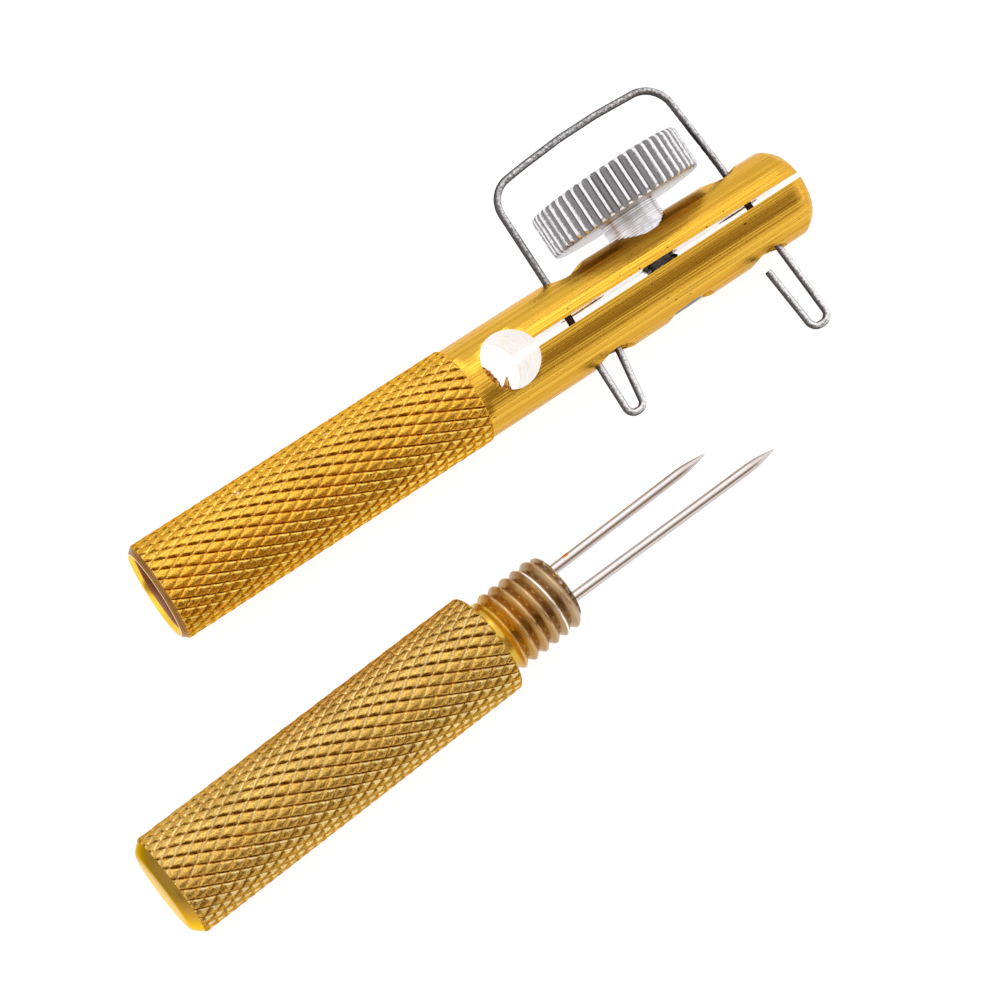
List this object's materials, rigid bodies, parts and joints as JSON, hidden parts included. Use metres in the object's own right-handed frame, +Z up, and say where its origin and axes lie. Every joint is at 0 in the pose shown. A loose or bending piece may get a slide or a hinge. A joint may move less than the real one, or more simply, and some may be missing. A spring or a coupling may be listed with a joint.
{
  "type": "knot tying hand tool",
  "caption": "Two-piece knot tying hand tool: a slotted clamp half with thumb screw and sliding wire frame, and a needle half that screws into its rear.",
  "frame": {"origin": "centre of the bounding box's footprint, on the table that both halves lie on", "axes": "+X along the tool half towards its slotted nose, +Z up, +Y towards the side that the thumb wheel is on"},
  "size_m": [0.1106, 0.0548, 0.0206],
  "materials": {
    "gold_anodised": "bright gold anodised, drawn lengthways, knurled grip",
    "olive_gold_anodised": "duller gold anodised, knurled",
    "nickel_wheel": "bright, straight fluted rim",
    "turned_nickel": "bright with turning marks",
    "screw_steel": "plain steel thread",
    "wire_steel": "grey drawn wire with bending marks",
    "needle_steel": "polished needle steel"
  },
  "bodies": {
    "tool_half": {"tool_body": "gold_anodised"},
    "wire_slider": {"wire_frame": "wire_steel"},
    "screw_carrier": {"wheel_collar": "turned_nickel"},
    "thumb_screw": {"thumb_wheel": "nickel_wheel", "clamp_screw": "screw_steel"},
    "needle_half": {"needle_handle": "olive_gold_anodised", "long_needle": "needle_steel", "short_needle": "needle_steel"}
  },
  "joints": [
    {"name": "frame_slide", "type": "slide", "parent": "tool_half", "child": "wire_slider", "axis": [0, 0.9239, 0.3827], "range_m": [-0.0027, 0.0055]},
    {"name": "thumb_travel", "type": "slide", "parent": "tool_half", "child": "screw_carrier", "axis": [0, 0.9239, 0.3827], "range_m": [0, 0.0024]},
    {"name": "thumb_turn", "type": "hinge", "parent": "screw_carrier", "child": "thumb_screw", "pos_m": [0.03594, 0.01432, 0.00855], "axis": [0, 0.9239, 0.3827], "range_deg": [0, 900]},
    {"name": "needle_half_carry", "type": "hinge", "parent": "tool_half", "child": "needle_half", "pos_m": [0.37093, 1.76379, 0.00625], "axis": [0, 0, 1], "range_deg": [-3.57, 0]}
  ],
  "couplings": [
    {"joint": "thumb_travel", "follows": "thumb_turn", "m_per_rad": 0.00012732}
  ]
}
